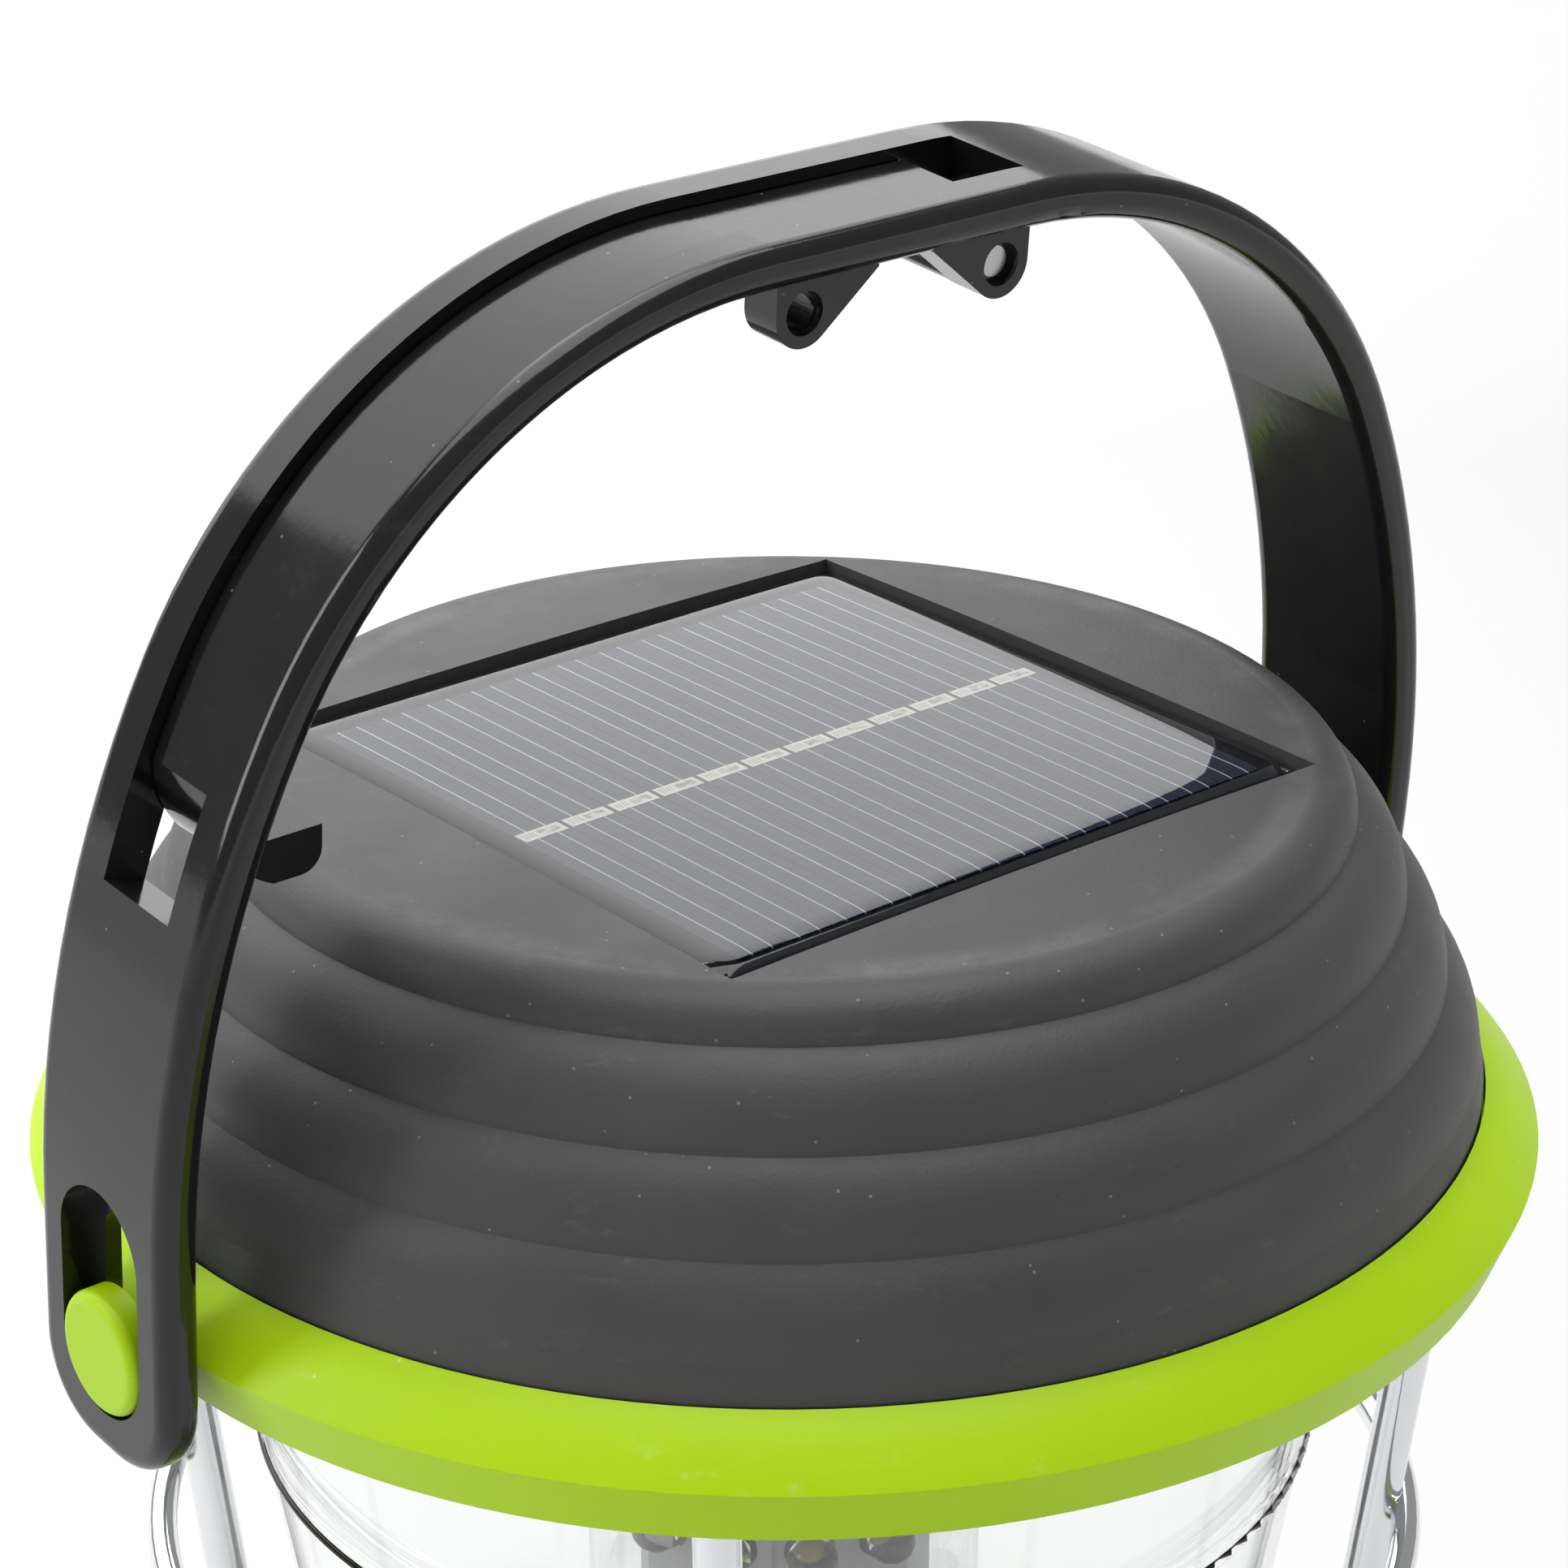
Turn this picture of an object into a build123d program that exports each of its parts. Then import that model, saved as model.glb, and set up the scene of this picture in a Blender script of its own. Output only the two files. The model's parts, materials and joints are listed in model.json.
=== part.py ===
from build123d import *
from math import atan2, cos, degrees, radians, sin, sqrt
import os

# Solar lantern. Millimetres, +Z up, origin on the table under the middle of the base.
# +X runs along the pivot pins of the carrying handle.

# Head: the ring's widest edge, and the dome above it
ring_height = 172.0
ring_radius = 75.0
ring_drop = 5.8
ring_undercut = 2.2
ring_ledge = 5.7
ring_slope_rise = 5.2
dome_wall = 3.0
dome_roof = 2.6
dome_seat = 2.5
crease_inset = 0.6
first_crease = 8.9
step_count = 3
step_rise = 7.9
step_run = 3.6
step_run_growth = 0.75
plateau_rise = 4.3
plateau_run = 4.9
plateau_crown = 0.7
fit_gap = 0.25
cut_margin = 1.0
ring_bulge = 0.25

# Solar panel
panel_length = 71.8
panel_width = 69.8
panel_aside = 1.0
panel_corner = 3.0
panel_sink = 0.2
resin_thickness = 1.6
board_thickness = 1.0
panel_gap = 0.4
cell_aside = 0.4
cell_count = 12
cell_side_margin = 3.38
cell_gap = 0.12
cell_end_margin = 2.9
cell_thickness = 0.25
busbar_width = 1.9
busbar_thickness = 0.1
ribbon_gap = 0.5
resin_edge = 0.8
tray_floor = 2.0
tray_lap = 0.4

# Head plate, its screws and the bosses they bite in
plate_radius = 63.0
plate_thickness = 2.4
plate_lift = 0.2
plate_lip = 3.0
flange_width = 2.0
boss_radius = 3.6
boss_circle = 50.0
screw_radius = 1.5
screw_head_radius = 2.8
screw_head_height = 1.6
screw_length = 9.0
screw_gap = 0.1
boss_turn = 22.5

# Carrying handle: a bent band that leans a little at rest
handle_lean = 4.4
handle_width = 20.9
handle_thickness = 4.3
handle_rise = 95.3
handle_gap = 0.5
shoulder_radius = 59.0
leg_radius = 112.0
arch_drop = 23.6
foot_length = 10.9
pivot_drop = 0.5
handle_edge = 1.8

# Pivot pins and the slots they ride in
pin_head_radius = 6.0
pin_head_height = 3.0
pin_neck_radius = 3.0
pin_shank_radius = 2.2
pin_head_gap = 0.3
pin_neck_gap = 0.12
pin_running_gap = 0.05
pin_float = 0.15
slot_travel = 10.8
slot_floor = 1.7
pin_head_round = 1.0
pin_step_gap = 0.15
pin_screw_radius = 1.0
pin_screw_length = 8.0
pin_screw_head = 2.3
pin_boss_depth = 8.0
pin_boss_width = 10.0

# Hanging hook folded into the top of the handle
hook_slot_width = 10.2
hook_side_gap = 0.3
hook_recess = 1.3
hook_thickness = 2.6
hook_pin_place = 12.3
hook_pin_depth = 7.1
hook_pin_radius = 1.5
hook_knuckle = 1.7
hook_swing_gap = 0.4
hook_end_angle = 22.5
slot_end_angle = 16.6
tip_inset = 20.6
tip_height = 49.7
tip_thickness = 4.4
tip_heel = 5.0
tip_saddle = 7.0
tip_round = 1.8
tip_nose_round = 2.2
tip_blend_angle = 2.0
lug_thickness = 4.4
lug_radius = 3.3
lug_hole_radius = 1.9
lug_mouth_radius = 2.1
lug_mouth_depth = 1.0
lug_lap = 1.0
lanyard_lug_place = -11.2
lug_flare = 5.2

# Globe, wire guard and lamp
globe_radius = 54.2
globe_draft = 0.155
globe_wall = 2.2
bead_drop = 34.0
bead_radius = 0.5
rod_radius = 2.2
rod_circle = 67.2
rod_draft = 0.113
rod_count = 4
first_rod_angle = 45.0
socket_depth = 3.3
socket_gap = 0.1
hoop_wire_radius = 1.55
hoop_circle = 64.8
hoop_drop = 46.6
column_radius = 15.4
column_bore = 5.0
lamp_tube_radius = 20.6
lamp_tube_wall = 1.0
led_radius = 2.5
led_reach = 19.2
led_count = 12
led_rows = 3
led_row_pitch = 22.0
led_top_drop = 45.0
led_hole_gap = 0.1
led_root = 11.0

# Base housing
base_height = 58.0
base_radius = 66.0
base_steps = 3
base_step_run = 1.6
skirt_height = 9.0
base_wall = 2.8
base_ring_height = 8.0
base_ring_flare = 3.4
base_ring_rise = 2.7
base_ring_crown = 1.1
base_ring_inner = 49.8
flange_opening = 52.5
lip_wall = 1.6
deck_ledge = 4.4
deck_thickness = 2.5
deck_drop = 1.5
cover_thickness = 2.5
cover_lift = 1.5
pocket_depth = 1.2
foot_pad_radius = 6.0
foot_pad_circle = 46.0
base_boss_circle = 53.0
base_boss_turn = 45.0
small_screw_radius = 1.0
small_screw_length = 5.0
small_head_radius = 1.9
small_head_height = 1.2
deck_screw_circle = 47.4

# Battery, board and wires
cell_radius = 7.1
cell_bay = 15.0
cell_body_length = 49.2
nub_radius = 2.7
nub_length = 1.2
battery_count = 3
tray_base = 1.2
tray_end = 3.0
tray_side = 2.0
board_length = 62.0
board_width = 36.0
board_thick = 1.6
board_lift = 36.0
post_inset = 4.0
chip_length = 10.0
chip_width = 6.0
coil_radius = 4.0
module_size = 8.0
board_part_height = 5.0
chip_place = (-14.0, 0.0)
coil_places = ((-14.0, -9.0), (4.0, 9.0))
module_place = (16.0, -2.0)
post_radius = 2.6
wire_radius = 0.65
wire_spacing = 2.6

# Button, switch, light and charging socket
button_radius = 8.0
button_height = 30.0
button_gap = 0.3
button_travel = 2.0
button_proud = 2.2
button_depth = 9.0
button_round = 1.0
button_flange = 1.2
button_rim = 1.2
stem_radius = 1.8
stem_depth = 1.5
switch_size = 9.0
switch_depth = 9.0
switch_setback = 11.0
shelf_middle = 52.0
shelf_length = 22.0
shelf_thickness = 2.0
shelf_rim = 2.0
light_place = 15.0
light_radius = 1.6
light_depth = 6.0
socket_height = 26.0
socket_radius = 1.8
socket_wall = 2.2
socket_length = 12.0
socket_back = 2.0
pad_face = 66.6
pad_width = 20.0
pad_height = 20.0
pad_depth = 5.5
pad_rise = 1.0
ear_thickness = 2.4
ear_rim = 0.9
ear_lap = 1.0
flap_tab_width = 2.4
flap_tab_height = 2.0
flap_knuckle = 1.1
flap_axis_gap = 1.45
flap_axis_height = 34.0
flap_pin_radius = 0.5
flap_overlap = 3.0

# Heights and radii that follow from the sizes above
deck_top = base_height - deck_drop
ring_bottom = ring_height - ring_drop
plate_bottom = ring_bottom + plate_lift
plate_top = plate_bottom + plate_thickness
dome_radius = ring_radius - ring_ledge
seat_height = ring_height + dome_seat
pivot_height = ring_height - pivot_drop
crease_radii = [dome_radius - crease_inset]
for step in range(step_count):
    crease_radii.append(crease_radii[-1] - step_run - step_run_growth * step)
crease_heights = [ring_height + first_crease + step_rise * step for step in range(step_count + 1)]
plateau_radius = crease_radii[-1] - plateau_run
plateau_height = crease_heights[-1] + plateau_rise
panel_top = plateau_height - panel_sink
panel_seat = panel_top - resin_thickness - board_thickness
recess_length = panel_length + 2 * panel_gap
recess_width = panel_width + 2 * (panel_aside + panel_gap)
cell_pitch = (panel_length - 2 * cell_side_margin) / cell_count
cell_length = panel_width - 2 * cell_end_margin
lean_angle = radians(handle_lean)
band_plane = Plane(
    origin=(0, 0, pivot_height),
    x_dir=(1, 0, 0),
    z_dir=(0, -cos(lean_angle), -sin(lean_angle)),
)
handle_half = ring_radius + handle_gap + handle_thickness
leg_start = handle_rise - shoulder_radius - arch_drop
leg_centre = leg_radius - handle_half
shoulder_centre = sqrt((leg_radius - shoulder_radius) ** 2 - arch_drop**2) - leg_centre
shoulder_angle = degrees(atan2(arch_drop, leg_centre + shoulder_centre))
hook_pin_height = handle_rise - hook_pin_depth
rod_angles = [first_rod_angle + 360 / rod_count * number for number in range(rod_count)]
finished = []


def keep(piece, name):
    piece.part.label = name
    finished.append(piece.part)


def globe_outer(height):
    return globe_radius + globe_draft * (height - ring_height + bead_drop)


def rod_place(height):
    return rod_circle + rod_draft * (height - ring_height)


def rod_plane(angle, height):
    # A plane across a guard rod, facing up along it
    turn = radians(angle)
    reach = rod_place(height)
    out = (cos(turn), sin(turn))
    return Plane(
        origin=(reach * out[0], reach * out[1], height),
        z_dir=(rod_draft * out[0], rod_draft * out[1], 1),
    )


def arch_point(inset, angle):
    # A point on the left half of the arch, at an angle above level seen from its arc's centre
    if angle < shoulder_angle:
        centre = Vector(leg_centre, leg_start)
        reach = leg_radius - inset
    else:
        centre = Vector(-shoulder_centre, handle_rise - shoulder_radius)
        reach = shoulder_radius - inset
    return centre + Vector(-reach * cos(radians(angle)), reach * sin(radians(angle)))


def arch_line(inset, first, end_x):
    # The left half of the arch, from an angle on the leg up to a place on the flat top
    top = handle_rise - inset
    turn = arch_point(inset, shoulder_angle)
    ThreePointArc(arch_point(inset, first), arch_point(inset, (first + shoulder_angle) / 2), turn)
    ThreePointArc(turn, arch_point(inset, (shoulder_angle + 90) / 2), (-shoulder_centre, top))
    Line((-shoulder_centre, top), (end_x, top))


def across(side, reach):
    # A plane on the pivot axis that faces outwards, with its x up the handle
    return Plane(
        origin=(side * reach, 0, pivot_height),
        x_dir=band_plane.y_dir,
        z_dir=(side, 0, 0),
    )


# ---- Head ----
with BuildPart() as cap_dome:
    with BuildSketch(Plane.XZ):
        with BuildLine():
            foot_top = ring_height + ring_slope_rise
            Line((dome_radius, seat_height), (dome_radius, foot_top))
            TangentArc((dome_radius, foot_top), (crease_radii[0], crease_heights[0]), tangent=(0, 1))
            for step in range(step_count):
                TangentArc(
                    (crease_radii[step], crease_heights[step]),
                    (crease_radii[step + 1], crease_heights[step + 1]),
                    tangent=(0, 1),
                )
            TangentArc(
                (crease_radii[-1], crease_heights[-1]), (plateau_radius, plateau_height), tangent=(0, 1)
            )
            ThreePointArc(
                (plateau_radius, plateau_height),
                (plateau_radius / 2, plateau_height + plateau_crown * 0.75),
                (0, plateau_height + plateau_crown),
            )
            Polyline(
                (0, plateau_height + plateau_crown),
                (0, plateau_height - dome_roof),
                (plateau_radius - dome_wall, plateau_height - dome_roof),
                (dome_radius - dome_wall, crease_heights[0]),
                (dome_radius - dome_wall, seat_height),
                (dome_radius, seat_height),
            )
        make_face()
    revolve(axis=Axis.Z)
    # The tray under the panel
    with BuildSketch(Plane.XY.offset(panel_seat - tray_floor)):
        Rectangle(recess_length + 2 * tray_floor, recess_width + 2 * tray_floor)
    extrude(amount=tray_floor + tray_lap)
    with BuildSketch(Plane.XY.offset(plate_top)):
        with PolarLocations(boss_circle, 4, start_angle=boss_turn):
            Circle(boss_radius)
    extrude(amount=plateau_height - dome_roof + tray_lap - plate_top)
    with BuildSketch(Plane.XY.offset(panel_seat)):
        Rectangle(recess_length, recess_width)
    extrude(amount=plateau_height + plateau_crown - panel_seat + cut_margin, mode=Mode.SUBTRACT)
    with BuildSketch(Plane.XY.offset(panel_seat)):
        Circle(column_bore)
    extrude(amount=-tray_floor, mode=Mode.SUBTRACT)
    with BuildSketch(Plane.XY.offset(plate_top)):
        with PolarLocations(boss_circle, 4, start_angle=boss_turn):
            Circle(screw_radius + screw_gap)
    extrude(amount=screw_length, mode=Mode.SUBTRACT)
keep(cap_dome, "cap_dome")

with BuildPart() as cap_ring:
    with BuildSketch(Plane.XZ):
        with BuildLine():
            inner = plate_radius + fit_gap
            brow = dome_radius + fit_gap
            ThreePointArc(
                (ring_radius, ring_height),
                ((ring_radius + brow) / 2 + ring_bulge, ring_height + ring_slope_rise / 2 + ring_bulge),
                (brow, ring_height + ring_slope_rise),
            )
            Polyline(
                (brow, ring_height + ring_slope_rise),
                (brow, seat_height),
                (inner - flange_width, seat_height),
                (inner - flange_width, plate_top),
                (inner, plate_top),
                (inner, ring_bottom),
                (ring_radius - ring_undercut, ring_bottom),
                (ring_radius, ring_height),
            )
        make_face()
    revolve(axis=Axis.Z)
    # A block behind each pivot pin
    block_height = seat_height - fit_gap - plate_top
    for side in (-1, 1):
        with BuildSketch(Plane.XY.offset(plate_top)):
            with Locations((side * (inner - pin_boss_depth / 2), 0)):
                Rectangle(pin_boss_depth, pin_boss_width)
        extrude(amount=block_height)
        with BuildSketch(across(side, inner - pin_boss_depth - cut_margin)):
            Circle(pin_shank_radius + pin_running_gap)
        extrude(amount=ring_radius, mode=Mode.SUBTRACT)
    for angle in rod_angles:
        with BuildSketch(rod_plane(angle, ring_bottom + socket_depth)):
            Circle(rod_radius + socket_gap)
        extrude(amount=-2 * socket_depth, mode=Mode.SUBTRACT)
keep(cap_ring, "cap_ring")

with BuildPart() as head_plate:
    with BuildSketch(Plane.XY.offset(plate_bottom)):
        Circle(plate_radius)
        Circle(column_bore, mode=Mode.SUBTRACT)
        with PolarLocations(boss_circle, 4, start_angle=boss_turn):
            Circle(screw_radius + screw_gap, mode=Mode.SUBTRACT)
    extrude(amount=plate_thickness)
    # A lip that centres the globe
    with BuildSketch(Plane.XY.offset(plate_bottom)):
        Circle(globe_outer(plate_bottom - plate_lip) - globe_wall - fit_gap)
        Circle(globe_outer(plate_bottom - plate_lip) - 2 * globe_wall - fit_gap, mode=Mode.SUBTRACT)
    extrude(amount=-plate_lip)
keep(head_plate, "head_plate")

with BuildPart() as head_screws:
    with BuildSketch(Plane.XY.offset(plate_bottom)):
        with PolarLocations(boss_circle, 4, start_angle=boss_turn):
            Circle(screw_head_radius)
    extrude(amount=-screw_head_height)
    with BuildSketch(Plane.XY.offset(plate_bottom)):
        with PolarLocations(boss_circle, 4, start_angle=boss_turn):
            Circle(screw_radius)
    extrude(amount=screw_length)
keep(head_screws, "head_screws")

# ---- Solar panel ----
with BuildPart() as panel_board:
    with BuildSketch(Plane.XY.offset(panel_seat)):
        with Locations((0, panel_aside)):
            RectangleRounded(panel_length, panel_width, panel_corner)
        with Locations((wire_spacing / 2, 0), (-wire_spacing / 2, 0)):
            Circle(wire_radius, mode=Mode.SUBTRACT)
    extrude(amount=board_thickness)
keep(panel_board, "panel_board")

cell_base = panel_seat + board_thickness
with BuildPart() as solar_cells:
    with BuildSketch(Plane.XY.offset(cell_base)):
        with Locations((cell_aside, 0)):
            with GridLocations(cell_pitch, 1, cell_count, 1):
                Rectangle(cell_pitch - cell_gap, cell_length)
    extrude(amount=cell_thickness)
keep(solar_cells, "solar_cells")

with BuildPart() as cell_ribbons:
    with BuildSketch(Plane.XY.offset(cell_base + cell_thickness)):
        with Locations((cell_aside, 0)):
            with GridLocations(cell_pitch, 1, cell_count, 1):
                Rectangle(cell_pitch - ribbon_gap, busbar_width)
    extrude(amount=busbar_thickness)
keep(cell_ribbons, "cell_ribbons")

with BuildPart() as panel_resin:
    with BuildSketch(Plane.XY.offset(cell_base)):
        with Locations((0, panel_aside)):
            RectangleRounded(panel_length, panel_width, panel_corner)
    extrude(amount=resin_thickness)
    fillet(panel_resin.faces().sort_by(Axis.Z)[-1].edges(), radius=resin_edge)
    with BuildSketch(Plane.XY.offset(cell_base)):
        with Locations((cell_aside, 0)):
            Rectangle(cell_pitch * cell_count + cell_gap, cell_length + cell_gap)
    extrude(amount=cell_thickness + busbar_thickness, mode=Mode.SUBTRACT)
keep(panel_resin, "panel_resin")

# ---- Carrying handle ----
band_inner = handle_rise - handle_thickness
slot_start = hook_pin_place + hook_pin_depth - hook_recess + hook_swing_gap
with BuildPart() as handle:
    with BuildSketch(band_plane):
        with BuildLine():
            arch_line(0, 0, 0)
            Line((0, handle_rise), (0, band_inner))
            arch_line(handle_thickness, 0, 0)
            Polyline(
                (-handle_half, leg_start),
                (-handle_half, -foot_length),
                (handle_thickness - handle_half, -foot_length),
                (handle_thickness - handle_half, leg_start),
            )
        make_face()
        mirror(about=Plane.YZ)
    extrude(amount=handle_width / 2, both=True)
    # Rounded feet and softened long edges
    band_up = Axis((0, 0, 0), band_plane.y_dir)
    fillet(
        handle.edges().filter_by(Axis.X).sort_by(band_up)[:4],
        radius=handle_width / 2 - handle_edge,
    )
    outline = handle.faces().filter_by(Axis(band_plane.origin, band_plane.z_dir))
    fillet(outline.edges(), radius=handle_edge)
    # Ears under the top, upright on one side and flared on the other: one pair holds the
    # hook's pin, and the other is a lanyard eye
    for place, hole, flared in (
        (hook_pin_place, hook_pin_radius, -1),
        (lanyard_lug_place, lug_hole_radius, 1),
    ):
        for side in (-1, 1):
            ear_middle = side * (hook_slot_width + lug_thickness) / 2
            with BuildSketch(band_plane.offset(ear_middle - lug_thickness / 2)):
                with Locations((place, hook_pin_height)):
                    Circle(lug_radius)
                with Locations((place + flared * lug_flare / 2, band_inner + lug_lap / 2)):
                    Rectangle(2 * lug_radius + lug_flare, lug_lap)
                make_hull()
                with Locations((place, hook_pin_height)):
                    Circle(hole, mode=Mode.SUBTRACT)
            extrude(amount=lug_thickness)
            with BuildSketch(band_plane.offset(side * (hook_slot_width / 2 + lug_thickness))):
                with Locations((place, hook_pin_height)):
                    Circle(lug_mouth_radius)
            extrude(amount=-side * lug_mouth_depth, mode=Mode.SUBTRACT)
    # The long slot that the hook folds into
    with BuildSketch(band_plane):
        with BuildLine():
            past_band = handle_thickness + cut_margin
            arch_line(-cut_margin, slot_end_angle, slot_start)
            Line((slot_start, handle_rise + cut_margin), (slot_start, handle_rise - past_band))
            arch_line(past_band, slot_end_angle, slot_start)
            Line(arch_point(-cut_margin, slot_end_angle), arch_point(past_band, slot_end_angle))
        make_face()
    extrude(amount=hook_slot_width / 2, both=True, mode=Mode.SUBTRACT)
    for side in (-1, 1):
        with BuildSketch(across(side, handle_half)):
            with Locations((slot_travel / 2, 0)):
                SlotCenterToCenter(slot_travel, 2 * (pin_head_radius + pin_head_gap))
        extrude(amount=slot_floor - handle_thickness, mode=Mode.SUBTRACT)
        with BuildSketch(across(side, handle_half)):
            with Locations((slot_travel / 2, 0)):
                SlotCenterToCenter(slot_travel, 2 * (pin_neck_radius + pin_neck_gap))
        extrude(amount=-handle_thickness, mode=Mode.SUBTRACT)
keep(handle, "handle")

hook_width = hook_slot_width - 2 * hook_side_gap
tip_end = tip_inset - handle_half
hook_inner = hook_recess + hook_thickness
tip_end_angle = hook_end_angle + tip_blend_angle
knuckle_radius = hook_pin_radius + hook_knuckle
with BuildPart() as hanging_hook:
    with BuildSketch(band_plane):
        with BuildLine():
            arch_line(hook_recess, hook_end_angle, hook_pin_place)
            Line(
                (hook_pin_place, handle_rise - hook_recess),
                (hook_pin_place, handle_rise - hook_inner),
            )
            arch_line(hook_inner, hook_end_angle, hook_pin_place)
            Line(arch_point(hook_recess, hook_end_angle), arch_point(hook_inner, hook_end_angle))
        make_face()
        # The tip turns inwards and catches the line or branch
        with BuildLine():
            heel = (tip_end - tip_heel, tip_height - tip_thickness)
            saddle = (tip_end - tip_saddle, tip_height)
            SagittaArc(arch_point(hook_recess, hook_end_angle), heel, -tip_round)
            Polyline(heel, (tip_end, tip_height - tip_thickness), (tip_end, tip_height), saddle)
            SagittaArc(saddle, arch_point(hook_inner, tip_end_angle), tip_round / 2)
            Line(arch_point(hook_inner, tip_end_angle), arch_point(hook_recess, hook_end_angle))
        make_face()
        # The knuckle round the pin, below the end of the strip
        with Locations((hook_pin_place, hook_pin_height)):
            Circle(knuckle_radius)
        knuckle_rise = hook_pin_depth - hook_inner + hook_thickness / 2
        with Locations((hook_pin_place - knuckle_radius / 2, hook_pin_height + knuckle_rise / 2)):
            Rectangle(knuckle_radius, knuckle_rise)
        with Locations((hook_pin_place, hook_pin_height)):
            Circle(hook_pin_radius + pin_running_gap, mode=Mode.SUBTRACT)
    extrude(amount=hook_width / 2, both=True)
    tip_edges = hanging_hook.edges().filter_by(Axis(band_plane.origin, band_plane.z_dir))
    fillet(tip_edges.group_by(Axis.Z)[0].sort_by(Axis.X)[-1:], radius=tip_nose_round)
keep(hanging_hook, "hanging_hook")

with BuildPart() as hook_pin:
    pin_half = hook_slot_width / 2 + lug_thickness - lug_mouth_depth
    with BuildSketch(band_plane.offset(-pin_half)):
        with Locations((hook_pin_place, hook_pin_height)):
            Circle(hook_pin_radius)
    extrude(amount=2 * pin_half)
keep(hook_pin, "hook_pin")

neck_start = ring_radius + pin_step_gap
head_base = handle_half - handle_thickness + slot_floor + pin_float
shank_end = plate_radius + fit_gap - pin_boss_depth - pin_float
with BuildPart() as pivot_pins:
    for side in (-1, 1):
        with BuildSketch(across(side, head_base)):
            Circle(pin_head_radius)
        extrude(amount=pin_head_height)
        with BuildSketch(across(side, neck_start)):
            Circle(pin_neck_radius)
        extrude(amount=head_base - neck_start)
        with BuildSketch(across(side, shank_end)):
            Circle(pin_shank_radius)
        extrude(amount=neck_start - shank_end)
        with BuildSketch(across(side, shank_end)):
            Circle(pin_screw_radius + pin_running_gap)
        extrude(amount=pin_screw_length + pin_running_gap, mode=Mode.SUBTRACT)
    fillet(pivot_pins.faces().filter_by(Axis.X).sort_by(Axis.X)[0].edges(), radius=pin_head_round)
    fillet(pivot_pins.faces().filter_by(Axis.X).sort_by(Axis.X)[-1].edges(), radius=pin_head_round)
keep(pivot_pins, "pivot_pins")

with BuildPart() as pin_screws:
    for side in (-1, 1):
        with BuildSketch(across(side, shank_end)):
            Circle(pin_screw_head)
        extrude(amount=-screw_head_height)
        with BuildSketch(across(side, shank_end)):
            Circle(pin_screw_radius)
        extrude(amount=pin_screw_length)
keep(pin_screws, "pin_screws")

# ---- Globe, wire guard and lamp ----
with BuildPart() as globe:
    with BuildSketch(Plane.XZ):
        with BuildLine():
            Polyline(
                (globe_outer(deck_top), deck_top),
                (globe_outer(plate_bottom), plate_bottom),
                (globe_outer(plate_bottom) - globe_wall, plate_bottom),
                (globe_outer(deck_top) - globe_wall, deck_top),
                close=True,
            )
        make_face()
        with Locations((globe_radius, ring_height - bead_drop)):
            Circle(bead_radius)
    revolve(axis=Axis.Z)
keep(globe, "globe")

rod_bottom = base_height - socket_depth
rod_top = ring_bottom + socket_depth
rod_length = (rod_top - rod_bottom) * sqrt(1 + rod_draft**2)
with BuildPart() as guard_rods:
    for angle in rod_angles:
        with BuildSketch(rod_plane(angle, rod_bottom)):
            Circle(rod_radius)
        extrude(amount=rod_length)
    # A seat for the hoop across each rod
    with BuildSketch(Plane.XZ):
        with Locations((hoop_circle, ring_height - hoop_drop)):
            Circle(hoop_wire_radius)
    revolve(axis=Axis.Z, mode=Mode.SUBTRACT)
keep(guard_rods, "guard_rods")

with BuildPart() as guard_hoop:
    with BuildSketch(Plane.XZ):
        with Locations((hoop_circle, ring_height - hoop_drop)):
            Circle(hoop_wire_radius)
    revolve(axis=Axis.Z)
keep(guard_hoop, "guard_hoop")

led_heights = [ring_height - led_top_drop - led_row_pitch * row for row in range(led_rows)]
led_body = led_reach - led_radius - led_root
with BuildPart() as leds:
    for height in led_heights:
        with Locations((0, 0, height)):
            with PolarLocations(0, led_count):
                with Locations((led_root, 0, 0)):
                    Cylinder(
                        led_radius,
                        led_body,
                        rotation=(0, 90, 0),
                        align=(Align.CENTER, Align.CENTER, Align.MIN),
                    )
                with Locations((led_root + led_body, 0, 0)):
                    Sphere(led_radius)
keep(leds, "leds")

with BuildPart() as lamp_column:
    with BuildSketch(Plane.XY.offset(deck_top)):
        RegularPolygon(column_radius, led_count, rotation=180 / led_count)
        Circle(column_bore, mode=Mode.SUBTRACT)
    extrude(amount=plate_bottom - deck_top)
    for height in led_heights:
        with Locations((0, 0, height)):
            with PolarLocations(0, led_count):
                with Locations((led_root, 0, 0)):
                    Cylinder(
                        led_radius + led_hole_gap,
                        led_reach,
                        rotation=(0, 90, 0),
                        align=(Align.CENTER, Align.CENTER, Align.MIN),
                        mode=Mode.SUBTRACT,
                    )
keep(lamp_column, "lamp_column")

with BuildPart() as lamp_tube:
    with BuildSketch(Plane.XY.offset(deck_top)):
        Circle(lamp_tube_radius)
        Circle(lamp_tube_radius - lamp_tube_wall, mode=Mode.SUBTRACT)
    extrude(amount=plate_bottom - deck_top)
keep(lamp_tube, "lamp_tube")

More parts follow.
